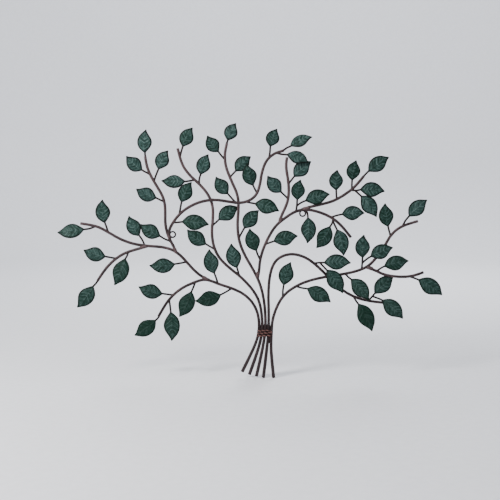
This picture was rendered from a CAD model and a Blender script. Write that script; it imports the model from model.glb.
from collections import namedtuple
import math
import random

import bpy
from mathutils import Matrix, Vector, noise


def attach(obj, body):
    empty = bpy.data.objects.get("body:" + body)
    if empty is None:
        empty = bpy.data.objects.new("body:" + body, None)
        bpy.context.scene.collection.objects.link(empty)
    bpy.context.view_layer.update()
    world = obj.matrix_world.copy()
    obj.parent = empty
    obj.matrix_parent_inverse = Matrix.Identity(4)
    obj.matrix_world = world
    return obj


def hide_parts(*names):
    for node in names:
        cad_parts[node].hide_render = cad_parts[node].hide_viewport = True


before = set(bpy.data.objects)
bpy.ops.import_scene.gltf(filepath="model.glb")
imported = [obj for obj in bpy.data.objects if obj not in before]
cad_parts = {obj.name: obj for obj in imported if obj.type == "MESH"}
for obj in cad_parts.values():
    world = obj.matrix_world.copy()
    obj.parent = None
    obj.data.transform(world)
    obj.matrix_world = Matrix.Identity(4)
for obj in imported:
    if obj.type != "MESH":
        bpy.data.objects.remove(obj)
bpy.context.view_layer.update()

# A wall tree of welded steel rod with stamped sheet leaves. Lengths in the tables and in the
# shape functions are millimetres in the frame's axes: X right, +Z up, the front faces -Y.

MM = 0.001
ROD_RADIUS = 3.0
STEM_RADIUS = 1.75
WELD_RADIUS = 4.0
RING_RADIUS = 6.38
RING_WIRE = 1.5

# What the paint adds: to the radius of a rod, of a stem and of a ring's wire, to the radius of a
# ring, and outwards along the edge of a leaf.
ROD_BUILD = 0.52
STEM_BUILD = 0.55
RING_BUILD = 0.5
RING_GROWTH = 0.38
LEAF_RIM_ROLL = 0.75

# A leaf is pressed from a sheet to a dome of this radius. Its width is a fixed part plus a share
# of its length, and its rim stands this far in front of the Y = 0 plane unless its row says
# otherwise.
LEAF_THICKNESS = 0.8
LEAF_DOME = 95.0
LEAF_WIDTH_FIXED = 20.0
LEAF_WIDTH_SHARE = 0.26
LEAF_DEPTH = 4.0

# Under a leaf the axis of its stem keeps this far from the back, starts this far from the base
# and runs on for the length of the lap.
STEM_SEAT = 1.45
STEM_START = 0.5
STEM_LAP = 9.0

# Outline of a leaf: share of its length, then how far its left and its right edge stand from
# the line between base and tip, as shares of its full width. The tip hooks to the right.
leaf_outline = [
    (0.0, 0.035, 0.035),
    (0.08, 0.22, 0.14),
    (0.2, 0.42, 0.29),
    (0.33, 0.52, 0.41),
    (0.47, 0.55, 0.45),
    (0.62, 0.505, 0.385),
    (0.77, 0.375, 0.22),
    (0.9, 0.17, 0.08),
    (1.0, 0.014, 0.014),
]

# Rod axes. A point is (x, z) in the Y = 0 plane or (x, y, z).
rod_1_axis = [
    (-19, 14.4),
    (12, 78),
    (22, 112),
    (21.5, 150),
    (10, 180.5),
    (-13, 204.5),
    (-41.5, 218.5),
    (-72, 228),
    (-96, 238),
    (-113, 240.5),
    (-134, 233.5),
    (-160, 222),
    (-182, 206),
    (-199, 187),
    (-211, 168),
    (-221, 150.5),
]
rod_2_axis = [
    (-1.5, 7.6),
    (21.5, 73.5),
    (29.5, 112),
    (29.5, 146),
    (24, 184.5),
    (8.5, 214),
    (-20, 245),
    (-52.5, 270.5),
    (-75.5, 293.5),
    (-88, 322),
    (-92, 354),
    (-88.5, 388),
    (-88.5, 418),
    (-100, 446),
    (-122, 471),
    (-143.5, 489.5),
    (-162, 515),
    (-172, 554),
]
rod_3_axis = [
    (15.5, 3.2),
    (31, 72),
    (37, 112),
    (37.5, 150),
    (34, 190),
    (25, 229),
    (8, 264),
    (-13, 299),
    (-27, 334),
    (-30.5, 372),
    (-27, 412),
    (-28.5, 442.5),
    (-44, 476),
    (-58, 510),
    (-60.5, 540),
    (-55, 565),
]
rod_4_axis = [
    (32.5, 0.4),
    (41, 72),
    (44.8, 112),
    (45.5, 152),
    (44, 205),
    (47, 250),
    (57.5, 282),
    (76.5, 297.5),
    (104, 303),
    (134, 1.5, 294),
    (160, 6, 274.5),
    (190, 6, 245),
    (222, 6, 214),
    (252.5, 6, 196.5),
    (286, 6, 187),
    (323, 6, 183),
]
rod_5_axis = [
    (57.5, 0.3),
    (50.7, 66),
    (51.8, 108),
    (54, 143),
    (66, 178),
    (84, 206),
    (114, 226.5),
    (146, 239),
    (190, 248.5),
    (232, 254.5),
    (262, 262),
    (285, 272.5),
    (305, 294),
    (323, 321),
    (338, 349),
    (362, 369),
    (402, 381),
]
limb_left_axis = [
    (-97, 238.2),
    (-116.5, 247.5),
    (-134.5, 262.5),
    (-150, 280),
    (-165, 297),
    (-183.5, 311.5),
    (-210, 319),
    (-245, 321),
    (-278.5, 325.5),
    (-310.5, 337),
    (-340, 354.5),
    (-362, 367),
    (-384, 372),
    (-406, 375.5),
]
arm_left_axis = [
    (-245, 321),
    (-262, 316),
    (-285, 309.5),
    (-303, 303),
    (-322, 291),
    (-341, 273.5),
    (-356, 254),
    (-367, 237),
]
crown_left_axis = [
    (-177.5, 306),
    (-184, 322),
    (-192.5, 337),
    (-199, 354),
    (-203, 375),
    (-202.5, 400),
    (-203, 420),
    (-208, 440.5),
    (-221, 462.5),
    (-235, 486),
    (-245, 508.5),
    (-249, 534),
]
cross_axis = [
    (-191, -3, 338),
    (-195, -3, 351),
    (-190, -3.5, 369),
    (-170, -4.5, 397),
    (-145, -5.6, 416),
    (-114, -5.6, 429),
    (-82, -5.6, 432.5),
    (-50, -5.6, 427.5),
    (-24, -5.6, 423.5),
    (0, -5, 430),
    (16.5, -2, 444.5),
    (24, 0, 468),
    (28, 0, 497),
    (38, 0, 525),
    (57, 0, 542),
    (80, 0, 548.5),
]
centre_axis = [
    (18.5, 244),
    (22, 262),
    (23.5, 285),
    (31, 313),
    (44, 342),
    (61, 370),
    (85, 389.5),
    (110, 405.5),
    (136, 409.5),
    (165, 403),
    (192.5, 391.5),
    (217, 373),
    (242, 341.5),
]
upright_axis = [
    (71, 379),
    (75, 393.5),
    (84, 412),
    (91, 431),
    (93, 456),
    (90.5, 482),
    (86.5, 503),
    (86, 519),
    (88, 533),
]
upper_right_axis = [
    (123, 408.5),
    (143, 415),
    (172, 421),
    (204.5, 430.5),
    (240, 453.5),
    (256, 469.5),
    (271, 488),
]
lower_right_axis = [
    (280, 269.8),
    (302, 262),
    (322, 252),
    (350, 247),
    (378, 246.8),
    (398, 250.5),
    (417.5, 258),
]

# A leaf: its stem's route as (x, y, z) where it leaves the rod and then (x, z) on to the
# leaf's base, the tip as (x, z), how far the rim stands forward at the base, how much more at
# the tip, the roll about its length in degrees, and whether its stem forks off the one before.
Leaf = namedtuple("Leaf", "route tip depth lean roll fork", defaults=(LEAF_DEPTH, 3, 0, False))

limb_left_leaves = [
    Leaf([(-370, 0, 369), (-375, 366), (-385, 362.5), (-397.5, 362)], (-459.5, 354), roll=-28),
    Leaf([(-340, 0, 354.8), (-343.5, 368), (-347.5, 377.5)], (-351, 432), roll=-3),
    Leaf([(-252, 0, 321.5), (-258, 336.5), (-265.5, 346.5)], (-288.5, 393), lean=2),
    Leaf([(-152.5, 0, 283), (-165, 280), (-181, 277.5)], (-240.5, 275), roll=5),
]
arm_left_leaves = [
    Leaf([(-321.5, 0, 291), (-334, 293.5), (-347, 296)], (-397.5, 312), roll=-4),
    Leaf([(-292, 0, 307), (-295, 297), (-299.5, 290.5)], (-325, 228), lean=4),
    Leaf([(-366, 0, 238.5), (-370.5, 231), (-377.5, 224)], (-415.5, 174), roll=3),
]
rod_1_leaves = [
    Leaf([(-186, 0, 202.5), (-196, 204), (-211.5, 206)], (-267, 223.5), roll=3),
    Leaf([(-195, 0, 190.5), (-193, 178), (-191, 161)], (-189, 92.5), lean=4),
    Leaf([(-219.3, 0, 151), (-223, 145.5), (-228.5, 141)], (-278, 105.5), roll=-4),
    Leaf([(-131.5, 0, 234.5), (-136, 222), (-141, 210.5)], (-170, 151), lean=2, roll=4),
    Leaf([(-44.5, 0, 218.5), (-56, 211), (-71, 203)], (-131, 189.5), lean=5),
    Leaf([(-77, 0, 229.5), (-81.5, 245), (-86, 256)], (-97.5, 313.5), roll=-3),
]
rod_2_leaves = [
    Leaf([(-26, 0, 250.5), (-29, 261), (-31.5, 269.5)], (-44.5, 327), roll=4),
    Leaf([(-83.5, 0, 313), (-94.5, 319), (-106, 326)], (-149.5, 360.5), roll=3),
    Leaf([(-89.5, 0, 371), (-81, 378), (-74.5, 384.5)], (-28, 414.5), depth=-2, lean=-3.6),
    Leaf([(-131.5, 0, 479), (-143.5, 477), (-155, 476)], (-210, 476.5), roll=-30),
    Leaf([(-121.5, 0, 471), (-121, 481), (-117.5, 492.5)], (-99, 539), lean=2),
    Leaf([(-166.5, 0, 534), (-163.5, 545), (-159.5, 558.5)], (-136, 601.5), lean=4),
]
rod_3_leaves = [
    Leaf([(-26.5, 0, 341), (-20, 353), (-13.5, 364.5)], (20.5, 407), roll=-4),
    Leaf([(-48, 0, 485.5), (-41, 493), (-34, 500.5)], (1.5, 534), lean=2),
    Leaf([(-60, 0, 528), (-68.5, 537), (-75.5, 546)], (-100.5, 583), roll=4),
    Leaf([(-55.5, 0, 563.5), (-54.5, 568), (-52.5, 573)], (-33.5, 612), lean=2),
]
crown_left_leaves = [
    Leaf([(-190, 0, 332.5), (-204, 337.5), (-215.5, 345.5)], (-261, 373.5), lean=5),
    Leaf([(-203.5, 0, 427), (-214, 431.5), (-224, 436.5)], (-270, 457.5), roll=3),
    Leaf([(-237.5, 0, 492), (-247, 497), (-257, 502.5)], (-292.5, 535), roll=-3),
    Leaf([(-229, 0, 475.5), (-224, 490), (-217.5, 505)], (-194.5, 548), lean=2),
    Leaf([(-248.3, 0, 532.5), (-249.3, 538), (-249.5, 544)], (-245.5, 597), roll=4),
]
cross_leaves = [
    Leaf([(-184, -3.8, 377.5), (-172, 378), (-161.5, 379.7)], (-98.5, 373), depth=5),
    Leaf([(-168.5, -4.6, 398.5), (-166, 412), (-163.5, 427)], (-139, 473.5), depth=5),
    Leaf([(-34, -5.6, 425), (-43, 435), (-53, 446.5)], (-80.5, 486), depth=7, lean=2),
    Leaf([(-9, -5.3, 427), (2, 424.5), (12.5, 423)], (68.5, 405.5), depth=5, roll=4),
    Leaf([(17, -1.5, 447.5), (12, 456.5), (7, 466.5)], (-7.5, 516.5), lean=7),
    Leaf([(45.5, 0, 533), (47.5, 545), (48, 558.5)], (63.5, 599), roll=-3),
    Leaf([(78, 0, 548), (87, 555), (96, 560)], (146.5, 580), roll=36),
    Leaf([(61, 0, 543.3), (75, 539.5), (88.5, 540)], (138, 519), lean=6.5, roll=28),
]
centre_leaves = [
    Leaf([(23.9, 0, 289), (18.5, 300), (15, 310.5)], (-0.5, 363), roll=3),
    Leaf([(35.5, 0, 324.5), (46, 329), (57.5, 333)], (113.5, 345.5), roll=4),
    Leaf([(110, 0, 404), (112, 418), (112.5, 432.5)], (120, 479), lean=2),
    Leaf([(112, 0, 417.5), (122, 425.5), (133, 430)], (189, 445), roll=3, fork=True),
    Leaf([(134, 0, 408), (138, 398), (138.5, 389)], (137, 329), lean=4),
    Leaf([(194, 0, 390), (207, 394.5), (220, 397.5)], (272, 400.5), roll=-4),
    Leaf([(199, 0, 386), (196.5, 375), (191, 367.5)], (159, 317.5), lean=3),
    Leaf([(198.3, 0, 381), (203.5, 370), (208.5, 360)], (223.5, 299.5), lean=6, fork=True),
]
upright_leaves = [
    Leaf([(91.3, 0, 434), (83, 442), (74, 450.5)], (42, 488.5), roll=-3),
    Leaf([(91.5, 0, 470), (99, 479), (105, 487.5)], (144.5, 522.5), lean=0),
]
upper_right_leaves = [
    Leaf([(207, 0, 433), (206, 444), (205.3, 455.5)], (207, 502.5), lean=2),
    Leaf([(243, 0, 456.5), (242.7, 467), (243, 479)], (251.5, 525), roll=-4),
    Leaf([(270, 0, 486.8), (276, 494), (282, 500)], (328.5, 532.5), roll=3),
    Leaf([(243.5, 0, 455), (253, 453.5), (263, 456.5)], (319.5, 452), roll=4),
    Leaf([(251, 0, 453.5), (258, 447), (265.5, 440.5)], (301, 391.5), lean=2, fork=True),
]
rod_4_leaves = [
    Leaf([(156, 5, 279), (167, 281), (178.5, 281.5)], (241, 281), depth=3, roll=4),
    Leaf([(168, 3, 281), (176, 272), (185, 263)], (222.5, 208.5), fork=True),
    Leaf([(251.5, 6, 196), (256, 188), (262.3, 180)], (294.5, 115.5), depth=1, lean=4),
    Leaf([(285.5, 6, 187), (296, 198), (302, 206)], (346.5, 248), depth=-5, lean=-2),
    Leaf([(296, 6, 198.5), (309, 194.5), (320, 190)], (368, 146.5), depth=1, lean=4, fork=True),
]
rod_5_leaves = [
    Leaf([(79, 0, 199), (79, 213), (81, 227.5)], (97.5, 282.5), roll=3),
    Leaf([(110, 0, 224), (125, 219.5), (138.3, 218.5)], (193.5, 187), roll=-4),
    Leaf([(229.5, 0, 254), (236, 246.5), (243.7, 241)], (285, 191.5), roll=3),
    Leaf([(268.5, 0, 264.5), (269.5, 280), (270, 294)], (272, 348), lean=2),
    Leaf([(269.5, 0, 280), (279, 289), (290, 296.5)], (341, 318), fork=True),
    Leaf([(336.5, 0, 346.5), (333, 358), (330, 369)], (321.5, 423), roll=-3),
    Leaf([(366, 0, 370.5), (371, 382), (380, 393)], (421, 431.5), roll=4),
]
lower_right_leaves = [
    Leaf([(304.5, 0, 260.5), (313, 267), (323, 273)], (379, 286), roll=3),
    Leaf([(385, 0, 247.5), (395, 244), (405.5, 240)], (461.5, 203.5), lean=2),
]

# Where a branch is welded on, as points on the seam between the rods.
limb_left_welds = [(-108, -1, 243.5)]
arm_left_welds = [(-256, -1, 319)]
crown_left_welds = [(-179.5, -1, 311)]
cross_welds = [(-193.5, -2.5, 345), (-89.5, -3.5, 431.5), (-27, -3.5, 424)]
centre_welds = [(18.5, -1, 252)]
upright_welds = [(72.5, -1, 384)]
upper_right_welds = [(133, -1, 411.3)]
lower_right_welds = [(288, -1, 269)]

# How much darker than the others the paint of a rod is.
DULL_RODS = {
    "centre_branch": 0.55,
    "cross_branch": 0.45,
    "trunk_rod_4": 0.35,
    "upper_right_branch": 0.4,
    "left_limb": 0.2,
    "trunk_rod_5": 0.15,
}

HANGING_RINGS = {
    "hanging_ring_left": (-185.2, -2, 349),
    "hanging_ring_right": (125.8, 0, 399.3),
}

# Every rod: its axis and the welds that fix it.
RODS = {
    "trunk_rod_1": (rod_1_axis, []),
    "trunk_rod_2": (rod_2_axis, []),
    "trunk_rod_3": (rod_3_axis, []),
    "trunk_rod_4": (rod_4_axis, []),
    "trunk_rod_5": (rod_5_axis, []),
    "left_limb": (limb_left_axis, limb_left_welds),
    "left_arm": (arm_left_axis, arm_left_welds),
    "left_crown_branch": (crown_left_axis, crown_left_welds),
    "cross_branch": (cross_axis, cross_welds),
    "centre_branch": (centre_axis, centre_welds),
    "upright_branch": (upright_axis, upright_welds),
    "upper_right_branch": (upper_right_axis, upper_right_welds),
    "lower_right_branch": (lower_right_axis, lower_right_welds),
}

# The leaves that stand on each rod.
FOLIAGE = {
    "trunk_rod_1": rod_1_leaves,
    "trunk_rod_2": rod_2_leaves,
    "trunk_rod_3": rod_3_leaves,
    "trunk_rod_4": rod_4_leaves,
    "trunk_rod_5": rod_5_leaves,
    "left_limb": limb_left_leaves,
    "left_arm": arm_left_leaves,
    "left_crown": crown_left_leaves,
    "cross": cross_leaves,
    "centre": centre_leaves,
    "upright": upright_leaves,
    "upper_right": upper_right_leaves,
    "lower_right": lower_right_leaves,
}

# ---------------------------------------------------------------- mesh building

NO_BLADE = (0.0, 0.0, 1.0)
FAR_FROM_RIM = 9.0
CORNER_CUTS = 4
WORN_END_SHARE = 0.6


class Skin:
    """Collects the vertices and faces of one piece in millimetres, with paint data per vertex.

    blade is the share of a leaf's length, the distance from its middle line and half its width
    there, rim the distance from its edge. tone is a leaf's own shade; on a rod, wire or bead it
    is above zero where the paint is rubbed back to copper and below zero where it is duller.
    """

    def __init__(self):
        self.points = []
        self.faces = []
        self.blade = []
        self.rim = []
        self.tone = []

    def add(self, points, faces, blade=None, rim=None, tone=0.0):
        start = len(self.points)
        self.points += points
        self.faces += [[start + i for i in face] for face in faces]
        self.blade += blade or [NO_BLADE] * len(points)
        self.rim += rim or [FAR_FROM_RIM] * len(points)
        self.tone += [tone] * len(points)

    def piece(self, name, material, slot, *nodes):
        mesh = bpy.data.meshes.new(name)
        mesh.from_pydata([tuple(p * MM) for p in self.points], [], self.faces)
        blade = mesh.attributes.new("blade", "FLOAT_VECTOR", "POINT")
        blade.data.foreach_set("vector", [c for row in self.blade for c in row])
        rim = mesh.attributes.new("rim", "FLOAT", "POINT")
        rim.data.foreach_set("value", self.rim)
        tone = mesh.attributes.new("tone", "FLOAT", "POINT")
        tone.data.foreach_set("value", self.tone)
        mesh.polygons.foreach_set("use_smooth", [True] * len(mesh.polygons))
        mesh.materials.append(material)
        mesh.validate()
        mesh.update()
        obj = bpy.data.objects.new(name, mesh)
        bpy.context.scene.collection.objects.link(obj)
        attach(obj, "root")
        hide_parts(*nodes)


def in_space(point):
    """A point given as (x, z) lies in the Y = 0 plane."""
    if len(point) == 2:
        return Vector((point[0], 0.0, point[1]))
    return Vector(point)


def smooth_path(points, step):
    """The bent line of a rod: the corners are cut to a smooth curve, then it is divided evenly."""
    line = [in_space(p) for p in points]
    for _ in range(CORNER_CUTS):
        finer = [line[0]]
        last = len(line) - 2
        for i, (a, b) in enumerate(zip(line, line[1:])):
            if i > 0:
                finer.append(a.lerp(b, 0.25))
            if i < last:
                finer.append(a.lerp(b, 0.75))
        finer.append(line[-1])
        line = finer
    reach = [0.0]
    for a, b in zip(line, line[1:]):
        reach.append(reach[-1] + (b - a).length)
    count = max(3, round(reach[-1] / step))
    path = []
    i = 0
    for k in range(count + 1):
        want = reach[-1] * k / count
        while i < len(line) - 2 and reach[i + 1] < want:
            i += 1
        run = reach[i + 1] - reach[i]
        path.append(line[i].lerp(line[i + 1], (want - reach[i]) / run if run else 0.0))
    return path


def path_frames(path):
    """Tangent, side and up vectors along a path, turned as little as possible."""
    frames = []
    side = None
    for i, here in enumerate(path):
        before = path[max(i - 1, 0)]
        after = path[min(i + 1, len(path) - 1)]
        tangent = (after - before).normalized()
        if side is None:
            side = tangent.cross(Vector((0, 1, 0)))
            if side.length < 0.1:
                side = tangent.cross(Vector((1, 0, 0)))
        side = (side - tangent * side.dot(tangent)).normalized()
        frames.append((here, tangent, side, tangent.cross(side)))
    return frames


def tube(skin, path, radius_at, sides, end, rough, tone=0.0, squash=1.0):
    """A closed tube along a path, lumpy by the share rough. Its ends have a small worn edge."""
    frames = path_frames(path)
    total = sum((b - a).length for a, b in zip(path, path[1:]))
    rings = []
    done = 0.0
    for i, (here, tangent, side, up) in enumerate(frames):
        if i:
            done += (path[i] - path[i - 1]).length
        rings.append((here, side, up, done, False))
    here, tangent, side, up = frames[0]
    rings[0] = (here + tangent * end, side, up, end, False)
    rings.insert(0, (here, side, up, 0.0, True))
    here, tangent, side, up = frames[-1]
    rings[-1] = (here - tangent * end, side, up, total - end, False)
    rings.append((here, side, up, total, True))
    points = []
    for here, side, up, done, is_end in rings:
        radius = radius_at(done / total)
        if is_end:
            radius = max(radius - end, radius * WORN_END_SHARE)
        for k in range(sides):
            angle = 2 * math.pi * k / sides
            out = side * math.cos(angle) + up * math.sin(angle)
            lump = 1.0 + rough * noise.noise((here + out * 3.0) * 0.16)
            oval = side * math.cos(angle) + up * math.sin(angle) * squash
            points.append(here + oval * radius * lump)
    faces = []
    for i in range(len(rings) - 1):
        for k in range(sides):
            a = i * sides + k
            b = i * sides + (k + 1) % sides
            faces.append((a, b, b + sides, a + sides))
    first = len(points)
    points.append(rings[0][0])
    points.append(rings[-1][0])
    base = (len(rings) - 1) * sides
    for k in range(sides):
        faces.append((first, (k + 1) % sides, k))
        faces.append((first + 1, base + k, base + (k + 1) % sides))
    skin.add(points, faces, tone=tone)


BEAD_FULLNESS = 2.4
BEAD_RIPPLE = 0.09
BEAD_END_SHARE = 0.22


def bead(skin, centre, along, length, radius, ripples, tone, squash=1.0):
    """A weld bead: a short spindle with the ripples of the weld pool."""
    along = Vector(along).normalized()
    half = length / 2
    count = max(10, ripples * 5)
    path = [Vector(centre) + along * (half * (2 * i / count - 1)) for i in range(count + 1)]

    def radius_at(share):
        body = math.sqrt(max(1 - abs(2 * share - 1) ** BEAD_FULLNESS, 0.0))
        ripple = 1 + BEAD_RIPPLE * math.cos(2 * math.pi * ripples * share)
        return max(radius * body * ripple, radius * BEAD_END_SHARE)

    tube(skin, path, radius_at, sides=14, end=0.12, rough=0.16, tone=tone, squash=squash)


# ---------------------------------------------------------------- leaves

LEAF_LEAST_EDGE = 0.012


def spline_table(rows, count):
    """Rows of (place, value, value) resampled on a smooth curve at count + 1 even places."""
    table = []
    for k in range(count + 1):
        want = k / count
        i = 0
        while i < len(rows) - 2 and rows[i + 1][0] < want:
            i += 1
        before = rows[max(i - 1, 0)]
        a = rows[i]
        b = rows[i + 1]
        after = rows[min(i + 2, len(rows) - 1)]
        run = b[0] - a[0]
        t = (want - a[0]) / run
        values = []
        for c in (1, 2):
            slope_a = (b[c] - before[c]) / max(b[0] - before[0], 1e-6) * run
            slope_b = (after[c] - a[c]) / max(after[0] - a[0], 1e-6) * run
            h = (2 * t**3 - 3 * t**2 + 1) * a[c] + (t**3 - 2 * t**2 + t) * slope_a
            h += (3 * t**2 - 2 * t**3) * b[c] + (t**3 - t**2) * slope_b
            values.append(max(h, LEAF_LEAST_EDGE))
        table.append(values)
    return table


LEAF_ROWS = 46
LEAF_COLUMNS = [0.0, 0.045, 0.1, 0.17, 0.25, 0.34, 0.44, 0.54, 0.64, 0.74, 0.83, 0.91, 0.965, 1.0]
LEAF_EDGES = spline_table(leaf_outline, LEAF_ROWS)

# Side veins: where the first one leaves the middle, their spacing and their sweep, as shares of
# a leaf's length, the power of their bend, and the number of the last one. The width of a vein
# is measured on a leaf of typical length.
VEIN_FIRST = 0.13
VEIN_SPACING = 0.15
VEIN_SWEEP = 0.21
VEIN_POWER = 1.25
VEIN_LAST = 4.6
TYPICAL_LENGTH = 56
MIDRIB_RISE = 0.9
VEIN_RISE = 0.65

# The rim turns back over its width, less where half the leaf is narrower than a full one. The
# tip curls up from a share of the length on, and the sides may be cupped.
RIM_WIDTH = 2.8
RIM_TURN = 0.85
RIM_FULL_HALF = 6
CURL_FROM = 0.55
LEAST_CURL, MOST_CURL = 0.2, 2.2
LEAST_CUP, MOST_CUP = -0.15, 0.55


def leaf_frame(row):
    """Base point, then the directions along the leaf, to its left and out of its front."""
    base = Vector((row.route[-1][0], -row.depth, row.route[-1][1]))
    tip = Vector((row.tip[0], -row.depth - row.lean, row.tip[1]))
    along = (tip - base).normalized()
    front = Vector((0, -1, 0))
    front = (front - along * front.dot(along)).normalized()
    across = front.cross(along)
    roll = math.radians(row.roll)
    out = front * math.cos(roll) + across * math.sin(roll)
    return base, along, out.cross(along), out, (tip - base).length


def dome(length, x, y):
    """Height of the pressed dome over the plane of a leaf's base and tip."""
    rim = math.sqrt(LEAF_DOME**2 - (length / 2) ** 2)
    return math.sqrt(LEAF_DOME**2 - (x - length / 2) ** 2 - y**2) - rim


def soft_step(low, high, value):
    """0 up to low, 1 from high on and eased between them."""
    t = min(max((value - low) / (high - low), 0.0), 1.0)
    return t * t * (3 - 2 * t)


def vein_height(u, v, half):
    """Height of the pressed veins, at a share u of the length and v of the half width."""
    reach = abs(v)

    # The midrib narrows from 1.5 mm at the base and runs out before the tip.
    middle = 1 - soft_step(0.25, 1.5 - 0.8 * u, reach * half)
    middle *= 1 - soft_step(0.86, 0.99, u)

    # The side veins sweep forward on their way out and run out before the rim.
    phase = (u - VEIN_SWEEP * reach**VEIN_POWER - VEIN_FIRST) / VEIN_SPACING
    near = abs(phase - round(phase)) * VEIN_SPACING * TYPICAL_LENGTH
    side = 1 - soft_step(0.2, 1.7, near)
    if phase < -0.5 or phase > VEIN_LAST:
        side = 0.0
    side *= 1 - soft_step(0.72, 0.93, reach)
    return max(MIDRIB_RISE * middle, VEIN_RISE * side)


def leaf(skin, row, draw):
    """A stamped leaf: domed sheet with pressed veins, a rolled rim and a lightly curled tip."""
    base, along, left, out, length = leaf_frame(row)
    width = LEAF_WIDTH_FIXED + LEAF_WIDTH_SHARE * length
    curl = draw.uniform(LEAST_CURL, MOST_CURL)
    cup = draw.uniform(LEAST_CUP, MOST_CUP)
    shade = draw.uniform(0.0, 1.0)
    shares = [-c for c in reversed(LEAF_COLUMNS[1:])] + LEAF_COLUMNS
    columns = len(shares)
    front = []
    back = []
    blade = []
    rims = []
    for i in range(LEAF_ROWS + 1):
        u = i / LEAF_ROWS
        left_edge, right_edge = LEAF_EDGES[i]
        middle = (left_edge - right_edge) / 2 * width
        half = (left_edge + right_edge) / 2 * width
        for v in shares:
            from_edge = (1 - abs(v)) * half
            x = length * u
            y = middle + half * v
            z = dome(length, x, y)
            z += curl * soft_step(CURL_FROM, 1.0, u) * u
            z += cup * abs(v) ** 2 * math.sin(math.pi * u)
            z += vein_height(u, v, half)
            turned = RIM_TURN * (1 - soft_step(0.0, RIM_WIDTH, from_edge))
            z -= turned * min(half / RIM_FULL_HALF, 1.0)
            front.append(base + along * x + left * y + out * z)
            back.append(base + along * x + left * y + out * (z - LEAF_THICKNESS))
            blade.append((u, half * v, half))
            # The base and the tip count as edges too.
            rims.append(min(from_edge, u * length * 0.7 + 0.4, (1 - u) * length * 0.5))
    rows = LEAF_ROWS + 1
    faces = []
    for i in range(LEAF_ROWS):
        for k in range(columns - 1):
            a = i * columns + k
            faces.append((a, a + columns, a + columns + 1, a + 1))
    count = rows * columns
    faces += [tuple(count + i for i in reversed(face)) for face in faces]

    # The worn outer edge, once around the leaf: along the base, up, along the tip and down.
    loop = list(range(columns))
    loop += [i * columns + columns - 1 for i in range(1, rows)]
    loop += [(rows - 1) * columns + k for k in range(columns - 2, -1, -1)]
    loop += [i * columns for i in range(rows - 2, 0, -1)]
    total = len(loop)
    centre = base + along * (length * 0.5)
    edge = []
    for n, i in enumerate(loop):
        outward = (front[loop[(n + 1) % total]] - front[loop[n - 1]]).cross(out)
        if outward.length > 1e-6:
            outward.normalize()
        middle_point = (front[i] + back[i]) / 2
        if outward.dot(middle_point - centre) < 0:
            outward = -outward
        edge.append(middle_point + outward * LEAF_RIM_ROLL)
    start = 2 * count
    for n, i in enumerate(loop):
        j = loop[(n + 1) % total]
        m = start + n
        o = start + (n + 1) % total
        faces.append((i, m, o, j))
        faces.append((m, i + count, j + count, o))
    blade = blade * 2 + [blade[i] for i in loop]
    skin.add(front + back + edge, faces, blade, rims * 2 + [0.0] * total, shade)


# The weld at a stem's root: its length, its radius and how far out it sits as a share of the
# rod's radius, for a stem on a rod and for one that forks off another stem.
ROOT_BEAD = (6.0, 2.75, 0.9)
FORK_BEAD = (4.4, 2.4, 0.4)
SEAT_BEAD_LENGTH = 8.5
SEAT_BEAD_RADIUS = 2.3


def stem_path(row):
    """The wire from the rod to the back of its leaf, where it lies along the middle."""
    base, along, _, out, length = leaf_frame(row)
    reach = LEAF_DOME - LEAF_THICKNESS - STEM_SEAT
    rim = math.sqrt(LEAF_DOME**2 - (length / 2) ** 2)
    lap = []
    for x in (STEM_START, STEM_START + STEM_LAP):
        height = math.sqrt(reach**2 - (x - length / 2) ** 2) - rim
        lap.append(base + along * x + out * height)
    root = Vector(row.route[0])
    points = [root]
    for x, z in row.route[1:-1]:
        done = math.hypot(x - root.x, z - root.z)
        rest = math.hypot(lap[0].x - x, lap[0].z - z)
        points.append(Vector((x, root.y + (lap[0].y - root.y) * done / (done + rest), z)))
    return points + lap


def stem(skin, row):
    """A leaf stem with the weld at its root and the braze that holds the leaf."""
    points = stem_path(row)
    path = smooth_path(points, 1.6)

    def radius_at(share):
        return STEM_RADIUS * (1.1 - 0.08 * share) + STEM_BUILD

    tube(skin, path, radius_at, sides=12, end=0.3, rough=0.03, tone=0.15)
    direction = (path[2] - path[0]).normalized()
    length, radius, out_share = FORK_BEAD if row.fork else ROOT_BEAD
    start = path[0] + direction * (ROD_RADIUS * out_share)
    bead(skin, start, direction, length, radius, 2, tone=0.6)
    seat = points[-2].lerp(points[-1], 0.42)
    bead(skin, seat, points[-1] - points[-2], SEAT_BEAD_LENGTH, SEAT_BEAD_RADIUS, 3, tone=0.6)


# ---------------------------------------------------------------- rods, waist and rings

ROD_STEP = 2.6
FOOT_HEIGHT = 60
FOOT_FLARE = 0.65
FOOT_FLARE_SHARE = 0.24
TIP_TAPER = 0.15

# The weld where a branch starts and the smaller ones where it crosses another rod: length,
# radius and number of ripples.
START_WELD = (19.0, WELD_RADIUS + 0.4, 5)
CROSSING_WELD = (9.5, WELD_RADIUS + 0.1, 3)


def rod(skin, axis, welds, dull):
    """A bent rod, flared at its foot if it stands low, with the welds that fix it."""
    path = smooth_path(axis, ROD_STEP)
    flare_most = FOOT_FLARE if axis[0][-1] < FOOT_HEIGHT else 0.0

    def radius_at(share):
        flare = flare_most * (1 - soft_step(0.0, FOOT_FLARE_SHARE, share))
        return ROD_RADIUS + ROD_BUILD + flare - TIP_TAPER * soft_step(0.85, 1.0, share)

    tube(skin, path, radius_at, sides=18, end=0.6, rough=0.035, tone=-dull)
    for i, weld in enumerate(welds):
        nearest = min(range(len(path)), key=lambda k: (path[k] - Vector(weld)).length)
        a = path[max(nearest - 2, 0)]
        b = path[min(nearest + 2, len(path) - 1)]
        length, radius, ripples = CROSSING_WELD if i else START_WELD
        bead(skin, weld, b - a, length, radius, ripples, tone=1.0, squash=0.9)


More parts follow.
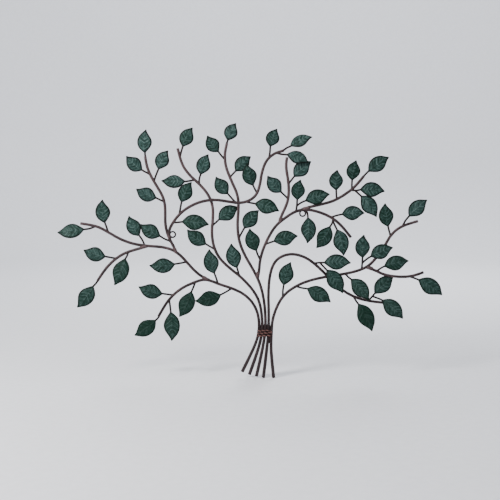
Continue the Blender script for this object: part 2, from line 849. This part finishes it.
# The tie runs around the bundle between these places, standing in front of and behind the rods
# and rising with every corner; its left side leans with the first rod.
TIE_BOTTOM = 103.0
TIE_LEFT = 16.8
TIE_RIGHT = 54.3
TIE_STAND = 5.1
TIE_RISE = 1.6
TIE_LEAN = 0.14
TIE_TURNS = 2
TIE_STEP = 0.9
TWIST_PITCH = 10.5
TWIST_RADIUS = 0.95
STRAND_RADIUS = 1.05


def binding_wire(skin):
    """Two turns of twisted pair wire around the flat bundle of trunk rods, and its tucked end."""

    def left_at(z):
        return TIE_LEFT + TIE_LEAN * (z - TIE_BOTTOM)

    corners = []
    z = TIE_BOTTOM
    for _ in range(TIE_TURNS):
        for on_left, y in (
            (True, -TIE_STAND),
            (False, -TIE_STAND),
            (False, TIE_STAND),
            (True, TIE_STAND),
        ):
            corners.append((left_at(z) if on_left else TIE_RIGHT, y, z))
            z += TIE_RISE

    # The tucked end: across the front once more, then bent down over the bundle.
    corners.append((left_at(z), -TIE_STAND, z))
    corners.append((TIE_RIGHT - 6, -TIE_STAND, z + TIE_RISE))
    corners.append((TIE_RIGHT - 3, -TIE_STAND - 1.2, z + TIE_RISE - 5))
    frames = path_frames(smooth_path(corners, TIE_STEP))
    for strand in range(2):
        twisted = []
        for i, (here, _, side, up) in enumerate(frames):
            angle = 2 * math.pi * i * TIE_STEP / TWIST_PITCH + math.pi * strand
            out = side * math.cos(angle) + up * math.sin(angle)
            twisted.append(here + out * TWIST_RADIUS)
        tone = 0.05 + 0.95 * strand
        tube(skin, twisted, lambda s: STRAND_RADIUS, sides=10, end=0.2, rough=0.08, tone=tone)


# Bottom, top and number of ripples of the braze between neighbouring trunk rods.
FILLETS = [(101, 132, 10), (101, 132, 10), (101, 132, 10), (85, 132, 15)]
FILLET_RADIUS = 1.6


def waist_fillets(skin):
    """Rippled braze between neighbouring trunk rods, wider where the rods are tied."""
    paths = [smooth_path(axis, 1.0) for axis, _ in list(RODS.values())[:5]]
    for i, (bottom, top, ripples) in enumerate(FILLETS):
        centre = []
        count = 3 * ripples
        for k in range(count + 1):
            z = bottom + (top - bottom) * k / count
            a = min(paths[i], key=lambda p: abs(p.z - z))
            b = min(paths[i + 1], key=lambda p: abs(p.z - z))
            centre.append(Vector(((a.x + b.x) / 2, 0.0, z)))

        def radius_at(share, ripples=ripples):
            taper = min(1.0, 4.5 * share + 0.35, 1.9 * (1 - share) + 0.05)
            return FILLET_RADIUS * taper * (1 + 0.1 * math.cos(2 * math.pi * ripples * share))

        tube(skin, centre, radius_at, sides=14, end=0.2, rough=0.12, tone=0.25)


def hanging_ring(skin, centre):
    """A closed ring of painted wire with its axis along Y."""
    count = 56
    sides = 14
    wire = RING_WIRE + RING_BUILD
    points = []
    for i in range(count):
        turn = 2 * math.pi * i / count
        out = Vector((math.cos(turn), 0, math.sin(turn)))
        for k in range(sides):
            angle = 2 * math.pi * k / sides
            place = out * (RING_RADIUS + RING_GROWTH + wire * math.cos(angle))
            place = place + Vector((0, wire * math.sin(angle), 0))
            lump = place * (1 + 0.006 * noise.noise(place * 0.5))
            points.append(Vector(centre) + lump)
    faces = []
    for i in range(count):
        for k in range(sides):
            a = i * sides + k
            b = i * sides + (k + 1) % sides
            c = ((i + 1) % count) * sides + (k + 1) % sides
            d = ((i + 1) % count) * sides + k
            faces.append((a, b, c, d))
    skin.add(points, faces, tone=0.05)


# ---------------------------------------------------------------- materials


class Nodes:
    """Short calls for building a node tree."""

    def __init__(self, name):
        self.material = bpy.data.materials.new(name)
        self.material.use_nodes = True
        self.tree = self.material.node_tree
        self.tree.nodes.clear()
        self.out = self.tree.nodes.new("ShaderNodeOutputMaterial")
        self.shader = self.tree.nodes.new("ShaderNodeBsdfPrincipled")
        self.tree.links.new(self.shader.outputs[0], self.out.inputs["Surface"])

    def put(self, socket, value):
        if isinstance(value, bpy.types.NodeSocket):
            self.tree.links.new(value, socket)
        else:
            socket.default_value = value

    def node(self, kind, *values, **settings):
        made = self.tree.nodes.new("ShaderNode" + kind)
        for key, value in settings.items():
            setattr(made, key, value)
        for i, value in enumerate(values):
            self.put(made.inputs[i], value)
        return made.outputs

    def math(self, operation, *values, clamp=False):
        return self.node("Math", *values, operation=operation, use_clamp=clamp)[0]

    def plus(self, a, b):
        return self.math("ADD", a, b)

    def times(self, a, b, clamp=False):
        return self.math("MULTIPLY", a, b, clamp=clamp)

    def ramp(self, value, low, high, to_low=0.0, to_high=1.0):
        """value from low..high to to_low..to_high, eased at both ends."""
        made = self.tree.nodes.new("ShaderNodeMapRange")
        made.interpolation_type = "SMOOTHSTEP"
        made.inputs["From Min"].default_value = low
        made.inputs["From Max"].default_value = high
        made.inputs["To Min"].default_value = to_low
        made.inputs["To Max"].default_value = to_high
        self.put(made.inputs["Value"], value)
        return made.outputs[0]

    def noise(self, vector, scale, detail, roughness=0.55):
        made = self.tree.nodes.new("ShaderNodeTexNoise")
        made.inputs["Scale"].default_value = scale
        made.inputs["Detail"].default_value = detail
        made.inputs["Roughness"].default_value = roughness
        self.put(made.inputs["Vector"], vector)
        return made.outputs[0]

    def mix(self, factor, a, b):
        """From colour a to colour b; 6, 7 and 2 are the colour sockets of a Mix node."""
        made = self.tree.nodes.new("ShaderNodeMix")
        made.data_type = "RGBA"
        self.put(made.inputs[0], factor)
        self.put(made.inputs[6], a)
        self.put(made.inputs[7], b)
        return made.outputs[2]

    def attribute(self, name, out):
        made = self.tree.nodes.new("ShaderNodeAttribute")
        made.attribute_name = name
        return made.outputs[out]

    def place(self):
        return self.tree.nodes.new("ShaderNodeTexCoord").outputs["Object"]

    def bump(self, height, distance, strength):
        made = self.tree.nodes.new("ShaderNodeBump")
        made.inputs["Distance"].default_value = distance
        made.inputs["Strength"].default_value = strength
        self.put(made.inputs["Height"], height)
        return made.outputs[0]

    def finish(self, **sockets):
        for name, value in sockets.items():
            self.put(self.shader.inputs[name.replace("_", " ")], value)
        return self.material


VECTOR_OUT = 1
VALUE_OUT = 2


def rod_paint(name, dark, warm, copper, rub):
    """Dark brown paint over steel, rubbed back to copper red in patches and more so high up."""
    n = Nodes(name)
    place = n.place()
    height = n.node("SeparateXYZ", place)[2]
    tone = n.attribute("tone", VALUE_OUT)
    broad = n.noise(place, scale=38.0, detail=3.0)
    fine = n.noise(place, scale=420.0, detail=4.0, roughness=0.65)
    grain = n.noise(place, scale=1500.0, detail=2.0)
    patch = n.plus(n.times(broad, 0.62), n.times(fine, 0.38))
    worn = n.ramp(patch, 0.53, 0.65)
    high = n.ramp(n.plus(height, n.times(broad, 0.7)), 0.42, 0.95)
    paint = n.mix(n.ramp(n.plus(n.times(high, 0.35), fine), 0.4, 0.95), dark, warm)
    paint = n.mix(n.times(n.plus(worn, high), rub), paint, copper)
    paint = n.mix(n.ramp(height, 0.02, 0.14, 0.42, 0.0), paint, warm)
    dull = n.times(tone, -1.0, clamp=True)
    paint = n.mix(n.times(dull, n.ramp(broad, 0.3, 0.7, 1.0, 0.6)), paint, dark)
    glint = n.times(tone, n.ramp(fine, 0.25, 0.75, 0.15, 0.75), clamp=True)
    relief = n.plus(n.times(fine, 0.75), n.times(grain, 0.25))
    return n.finish(
        Base_Color=n.mix(glint, paint, copper),
        Roughness=n.ramp(patch, 0.35, 0.7, 0.6, 0.42),
        Metallic=0.2,
        Specular_IOR_Level=0.2,
        Normal=n.bump(relief, distance=0.0006, strength=0.5),
    )


LEAF_DEEP = (0.003, 0.021, 0.014, 1)
LEAF_GREEN = (0.014, 0.045, 0.036, 1)
LEAF_PALE = (0.028, 0.061, 0.055, 1)
LEAF_WORN = (0.074, 0.123, 0.112, 1)
LEAF_VEIN = (0.077, 0.127, 0.116, 1)
LEAF_PIT = (0.002, 0.010, 0.007, 1)
LEAF_GROOVE = (0.002, 0.010, 0.008, 1)
LEAF_RIM = (0.001, 0.004, 0.003, 1)
LEAF_SHADE = (0.001, 0.014, 0.007, 1)


def leaf_paint():
    """Deep blue-green paint, darker at the rim, worn lighter along the pressed veins."""
    n = Nodes("leaf_paint")
    place = n.place()
    height = n.node("SeparateXYZ", place)[2]
    u, y, half = n.node("SeparateXYZ", n.attribute("blade", VECTOR_OUT))
    rim = n.attribute("rim", VALUE_OUT)
    shade = n.attribute("tone", VALUE_OUT)

    # The veins again, where vein_height() raises them, and the grooves beside them.
    aside = n.math("ABSOLUTE", y)
    reach = n.math("DIVIDE", aside, n.math("MAXIMUM", half, 0.3))
    sweep = n.times(n.math("POWER", reach, VEIN_POWER), VEIN_SWEEP)
    along = n.math("SUBTRACT", n.math("SUBTRACT", u, sweep), VEIN_FIRST)
    phase = n.math("DIVIDE", along, VEIN_SPACING)
    near = n.times(n.math("PINGPONG", phase, 0.5), VEIN_SPACING * TYPICAL_LENGTH)
    after_first = n.ramp(phase, -0.5, -0.35)
    before_last = n.ramp(phase, VEIN_LAST - 0.15, VEIN_LAST, 1.0, 0.0)
    inside = n.times(after_first, before_last)
    side = n.times(n.ramp(near, 0.3, 1.9, 1.0, 0.0), inside)
    side = n.times(side, n.ramp(reach, 0.72, 0.95, 1.0, 0.0))
    middle = n.times(n.ramp(aside, 0.2, 1.4, 1.0, 0.0), n.ramp(u, 0.86, 0.99, 1.0, 0.0))
    veins = n.math("MAXIMUM", middle, n.times(side, 0.8))
    groove = n.times(n.ramp(near, 2.4, 4.2, 1.0, 0.0), n.ramp(near, 0.9, 1.9))

    # Wear: clouds and mottling that differ from leaf to leaf, and streaks that follow the veins.
    shift = n.node("CombineXYZ", shade, shade, shade)[0]
    moved = n.node("VectorMath", place, shift, operation="ADD")[0]
    cloud = n.noise(moved, scale=70.0, detail=3.0)
    mottle = n.noise(moved, scale=170.0, detail=3.0, roughness=0.6)
    lie = n.node("CombineXYZ", n.times(phase, 2.0), n.times(y, 0.1), n.times(shade, 37.0))[0]
    streak = n.noise(lie, scale=1.0, detail=2.0, roughness=0.5)
    blotch = n.plus(n.times(streak, 0.62), n.times(mottle, 0.38))
    fine = n.noise(place, scale=520.0, detail=4.0, roughness=0.65)
    grain = n.noise(place, scale=1900.0, detail=2.0)
    worn = n.plus(n.times(fine, 0.3), n.times(blotch, 0.7))

    paint = n.mix(n.ramp(cloud, 0.38, 0.62), LEAF_DEEP, LEAF_GREEN)
    paint = n.mix(n.times(shade, 0.65), paint, LEAF_PALE)
    paint = n.mix(n.times(n.ramp(worn, 0.485, 0.60), 0.64), paint, LEAF_WORN)
    paint = n.mix(n.times(n.ramp(worn, 0.40, 0.5, 1.0, 0.0), 0.7), paint, LEAF_PIT)
    soiled = n.times(n.times(groove, inside), n.ramp(cloud, 0.38, 0.62, 0.2, 0.75))
    paint = n.mix(soiled, paint, LEAF_GROOVE)
    paint = n.mix(n.times(veins, n.ramp(blotch, 0.38, 0.58, 0.02, 0.72)), paint, LEAF_VEIN)
    edge = n.ramp(n.plus(rim, n.times(fine, 1.4)), 1.9, 5.6, 1.0, 0.0)
    paint = n.mix(edge, paint, LEAF_RIM)
    low = n.ramp(height, 0.08, 0.56, 0.46, 0.0)
    paint = n.mix(n.plus(low, n.ramp(shade, 0.0, 0.55, 0.3, 0.0)), paint, LEAF_SHADE)
    relief = n.plus(n.times(fine, 0.35), n.times(grain, 0.1))
    relief = n.plus(relief, n.times(veins, 0.9))
    return n.finish(
        Base_Color=paint,
        Roughness=n.ramp(fine, 0.3, 0.7, 0.62, 0.48),
        Specular_IOR_Level=0.12,
        Normal=n.bump(relief, distance=0.0005, strength=0.7),
    )


ROD_PAINT = rod_paint(
    "rod_paint",
    dark=(0.016, 0.010, 0.011, 1),
    warm=(0.041, 0.026, 0.028, 1),
    copper=(0.125, 0.079, 0.079, 1),
    rub=0.26,
)
STEM_PAINT = rod_paint(
    "stem_paint",
    dark=(0.005, 0.004, 0.005, 1),
    warm=(0.013, 0.009, 0.010, 1),
    copper=(0.050, 0.026, 0.024, 1),
    rub=0.14,
)
BRAZE_PAINT = rod_paint(
    "braze_paint",
    dark=(0.015, 0.008, 0.008, 1),
    warm=(0.035, 0.016, 0.014, 1),
    copper=(0.12, 0.045, 0.034, 1),
    rub=0.26,
)
TIE_PAINT = rod_paint(
    "tie_paint",
    dark=(0.022, 0.010, 0.009, 1),
    warm=(0.07, 0.027, 0.022, 1),
    copper=(0.34, 0.17, 0.15, 1),
    rub=0.2,
)
LEAF_PAINT = leaf_paint()

# ---------------------------------------------------------------- the tree

for name, (axis, welds) in RODS.items():
    skin = Skin()
    rod(skin, axis, welds, DULL_RODS.get(name, 0.0))
    skin.piece(name + "_bent_rod", ROD_PAINT, "rod", name)

skin = Skin()
waist_fillets(skin)
skin.piece("waist_braze_fillets", BRAZE_PAINT, "braze", "waist_braze")

skin = Skin()
binding_wire(skin)
skin.piece("waist_twisted_tie", TIE_PAINT, "tie", "waist_binding_wire")

for name, centre in HANGING_RINGS.items():
    skin = Skin()
    hanging_ring(skin, centre)
    skin.piece(name + "_wire", STEM_PAINT, "ring", name)

draw = random.Random(7)
for name, leaves in FOLIAGE.items():
    blades = Skin()
    wires = Skin()
    for row in leaves:
        leaf(blades, row, draw)
        stem(wires, row)
    blades.piece(name + "_stamped_leaves", LEAF_PAINT, "leaf", name + "_leaves")
    wires.piece(name + "_wire_stems", STEM_PAINT, "stem", name + "_stems")

# ---------------------------------------------------------------- stage, lights and camera

# The studio in metres: a flat floor, a cove that sweeps it up and an upright backdrop.
FLOOR_RADIUS = 3.0
COVE_RADIUS = 1.2
COVE_STEPS = 12
FLOOR_STEPS = 5
BACKDROP_HEIGHTS = (2.0, 3.4)
FLOOR_DROP = 0.0006


def studio():
    """A pale round floor that sweeps up into a backdrop on every side."""
    profile = [(FLOOR_RADIUS * k / FLOOR_STEPS, 0.0) for k in range(FLOOR_STEPS + 1)]
    for k in range(1, COVE_STEPS + 1):
        angle = math.pi / 2 * k / COVE_STEPS
        outward = COVE_RADIUS * math.sin(angle)
        profile.append((FLOOR_RADIUS + outward, COVE_RADIUS * (1 - math.cos(angle))))
    profile += [(FLOOR_RADIUS + COVE_RADIUS, height) for height in BACKDROP_HEIGHTS]
    sides = 96
    points = [(0, 0, -FLOOR_DROP)]
    faces = []
    for radius, height in profile[1:]:
        for k in range(sides):
            angle = 2 * math.pi * k / sides
            points.append((radius * math.cos(angle), radius * math.sin(angle), height - FLOOR_DROP))
    for k in range(sides):
        faces.append((0, 1 + k, 1 + (k + 1) % sides))
    for i in range(len(profile) - 2):
        for k in range(sides):
            a = 1 + i * sides + k
            b = 1 + i * sides + (k + 1) % sides
            faces.append((a, a + sides, b + sides, b))
    mesh = bpy.data.meshes.new("studio_floor")
    mesh.from_pydata(points, [], faces)
    mesh.polygons.foreach_set("use_smooth", [True] * len(mesh.polygons))
    mesh.update()
    n = Nodes("studio_paper")
    speck = n.noise(n.place(), scale=60.0, detail=4.0)
    paper = n.mix(n.ramp(speck, 0.3, 0.7), (0.72, 0.725, 0.75, 1), (0.75, 0.755, 0.78, 1))
    mesh.materials.append(n.finish(Base_Color=paper, Roughness=0.85))
    obj = bpy.data.objects.new("studio_floor", mesh)
    bpy.context.scene.collection.objects.link(obj)


def soft_light(name, place, target, size, power, colour):
    """A round area light, size in metres and power in watts, aimed at a target."""
    data = bpy.data.lights.new(name, "AREA")
    data.shape = "DISK"
    data.size = size
    data.energy = power
    data.color = colour
    obj = bpy.data.objects.new(name, data)
    obj.location = place
    obj.rotation_euler = (Vector(target) - Vector(place)).to_track_quat("-Z", "Y").to_euler()
    obj.visible_camera = False
    bpy.context.scene.collection.objects.link(obj)


WARM_LIGHT = (1.0, 0.985, 0.97)
COOL_LIGHT = (0.93, 0.96, 1.0)
PALE_LIGHT = (0.96, 0.98, 1.0)
AIR = (0.86, 0.88, 0.92, 1)

studio()
soft_light("key", (-1.15, -0.95, 1.3), (0, 0, 0.35), 0.5, 43, WARM_LIGHT)
soft_light("fill", (2.4, -1.9, 1.3), (0, 0, 0.35), 1.8, 9, COOL_LIGHT)
soft_light("back", (0.9, 2.3, 2.4), (0, 0, 0.3), 1.6, 60, PALE_LIGHT)
soft_light("backdrop", (0.0, 1.3, 2.6), (0, 4.2, 1.3), 1.6, 70, PALE_LIGHT)

world = bpy.data.worlds.new("studio_air")
world.use_nodes = True
world.node_tree.nodes["Background"].inputs["Color"].default_value = AIR
world.node_tree.nodes["Background"].inputs["Strength"].default_value = 0.95
bpy.context.scene.world = world

CAMERA_DISTANCE = 2.0
CAMERA_ELEVATION = math.radians(5)
AIM = Vector((0, 0, 0.3115))
camera_data = bpy.data.cameras.new("camera")
camera_data.lens = 60
camera_data.sensor_width = 36
camera = bpy.data.objects.new("camera", camera_data)
back = Vector((0, -math.cos(CAMERA_ELEVATION), math.sin(CAMERA_ELEVATION)))
camera.location = AIM + back * CAMERA_DISTANCE
camera.rotation_mode = "QUATERNION"
camera.rotation_quaternion = (-back).to_track_quat("-Z", "Y")
bpy.context.scene.collection.objects.link(camera)
bpy.context.scene.camera = camera
